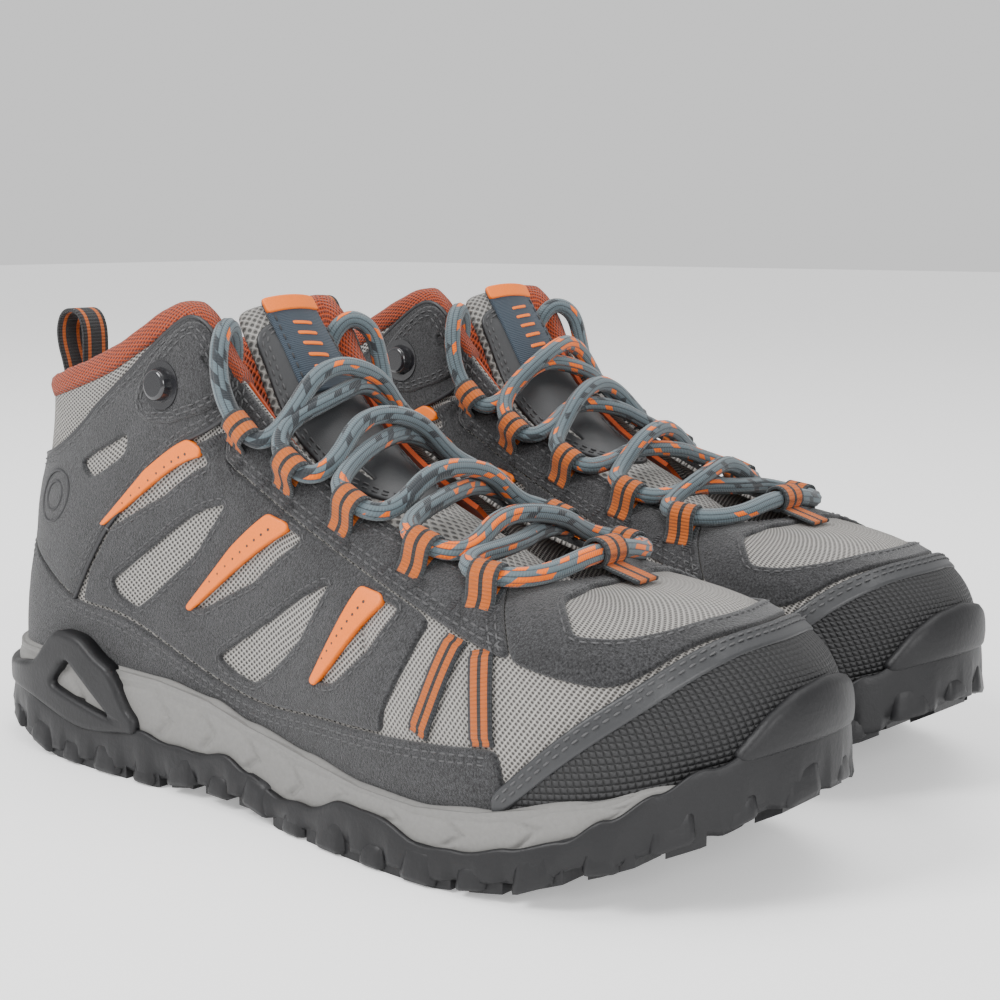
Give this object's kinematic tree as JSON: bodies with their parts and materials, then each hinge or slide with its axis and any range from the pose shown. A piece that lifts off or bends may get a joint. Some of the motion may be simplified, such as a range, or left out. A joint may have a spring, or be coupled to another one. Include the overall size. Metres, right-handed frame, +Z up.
{
  "type": "pair of hiking boots",
  "caption": "Pair of mid-height lace-up hiking boots with lugged rubber soles, foam midsoles, mesh and suede uppers, webbing lace loops and heel pull loops.",
  "frame": {"origin": "centre of the pair's bounding box on the ground, where the lugs stand", "axes": "+X towards the toes, +Y from the right boot to the left boot, +Z up"},
  "size_m": [0.3148, 0.2362, 0.1505],
  "materials": {
    "outsole_rubber": "moulded matt rubber",
    "shank_steel": "rolled strip, hidden inside",
    "midsole_foam": "matt moulded foam",
    "board_fibre": "fibre board, hidden inside",
    "footbed_foam": "textile over foam",
    "mesh_fabric": "open woven mesh",
    "stiffener_plastic": "thermoformed sheet, hidden inside",
    "collar_foam": "soft open foam, hidden inside",
    "collar_textile": "open knitted mesh",
    "toe_rubber": "fine square grid texture",
    "suede": "napped, lightly speckled",
    "orange_film": "welded film, satin",
    "webbing": "woven, striped",
    "tongue_padding": "knitted mesh over foam",
    "tongue_leather": "smooth synthetic, satin",
    "label_textile": "woven tape",
    "lace_cord": "braided, flecked",
    "aglet_plastic": "shrunk film tip",
    "loop_webbing": "woven, striped",
    "stud_plastic": "domed, polished"
  },
  "bodies": {
    "right_boot": {"right_outsole": "outsole_rubber", "right_shank": "shank_steel", "right_midsole": "midsole_foam", "right_heel_clip": "outsole_rubber", "right_insole_board": "board_fibre", "right_footbed": "footbed_foam", "right_quarter_mesh": "mesh_fabric", "right_vamp_mesh": "mesh_fabric", "right_heel_counter": "stiffener_plastic", "right_toe_puff": "stiffener_plastic", "right_collar_foam": "collar_foam", "right_collar_lining": "collar_textile", "right_toe_cap": "toe_rubber", "right_toe_bumper": "outsole_rubber", "right_mudguard": "suede", "right_eyestay": "suede", "right_vamp_overlay": "suede", "right_quarter_overlays": "suede", "right_ankle_panels": "suede", "right_heel_backstay": "suede", "right_orange_overlays": "orange_film", "right_side_webbing": "webbing", "right_tongue": "tongue_padding", "right_tongue_patch": "tongue_leather", "right_tongue_label": "label_textile", "right_lace": "lace_cord", "right_aglets": "aglet_plastic", "right_lace_loops": "loop_webbing", "right_ankle_studs": "stud_plastic"},
    "left_boot": {"left_outsole": "outsole_rubber", "left_shank": "shank_steel", "left_midsole": "midsole_foam", "left_heel_clip": "outsole_rubber", "left_insole_board": "board_fibre", "left_footbed": "footbed_foam", "left_quarter_mesh": "mesh_fabric", "left_vamp_mesh": "mesh_fabric", "left_heel_counter": "stiffener_plastic", "left_toe_puff": "stiffener_plastic", "left_collar_foam": "collar_foam", "left_collar_lining": "collar_textile", "left_toe_cap": "toe_rubber", "left_toe_bumper": "outsole_rubber", "left_mudguard": "suede", "left_eyestay": "suede", "left_vamp_overlay": "suede", "left_quarter_overlays": "suede", "left_ankle_panels": "suede", "left_heel_backstay": "suede", "left_orange_overlays": "orange_film", "left_side_webbing": "webbing", "left_tongue": "tongue_padding", "left_tongue_patch": "tongue_leather", "left_tongue_label": "label_textile", "left_lace": "lace_cord", "left_aglets": "aglet_plastic", "left_lace_loops": "loop_webbing", "left_ankle_studs": "stud_plastic"},
    "right_pull": {"right_heel_pull": "webbing"},
    "left_pull": {"left_heel_pull": "webbing"}
  },
  "joints": [
    {"name": "left_boot_place", "type": "slide", "parent": "right_boot", "child": "left_boot", "axis": [0, 1, 0], "range_m": [0, 0.12]},
    {"name": "right_pull_fold", "type": "hinge", "parent": "right_boot", "child": "right_pull", "pos_m": [-0.12636, -0.06034, 0.1244], "axis": [0, 1, 0], "range_deg": [-20, 20], "stiffness_Nm_per_rad": 0.002},
    {"name": "left_pull_fold", "type": "hinge", "parent": "left_boot", "child": "left_pull", "pos_m": [-0.13748, 0.07114, 0.1244], "axis": [0.0541, 0.9985, 0], "range_deg": [-20, 20], "stiffness_Nm_per_rad": 0.002}
  ]
}
